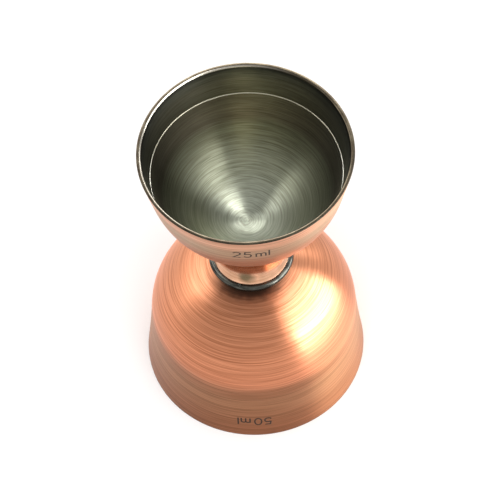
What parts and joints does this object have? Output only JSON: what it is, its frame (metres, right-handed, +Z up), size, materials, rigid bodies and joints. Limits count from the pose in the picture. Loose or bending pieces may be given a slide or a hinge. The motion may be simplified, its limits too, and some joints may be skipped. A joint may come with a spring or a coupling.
{
  "type": "bar jigger",
  "caption": "Double-ended spirit measure: two spun bell-shaped cups joined mouth outwards at a narrow waist with a bead ring.",
  "frame": {"origin": "centre of the circle that the large cup's rim stands on", "axes": "+Z up the axis of both cups, out of the small cup's mouth; -Y is the side with the capacity marks"},
  "size_m": [0.0492, 0.0492, 0.0778],
  "materials": {
    "brushed_copper": "concentric brushed antique copper plate outside, brushed gunmetal inside",
    "polished_copper": "polished antique copper plate",
    "gunmetal": "polished dark gunmetal",
    "plain_steel": "turned, unplated"
  },
  "bodies": {
    "root": {"small_cup": "brushed_copper", "large_cup": "brushed_copper", "waist_collar": "polished_copper", "waist_ring": "gunmetal", "joining_stud": "plain_steel"}
  },
  "joints": []
}
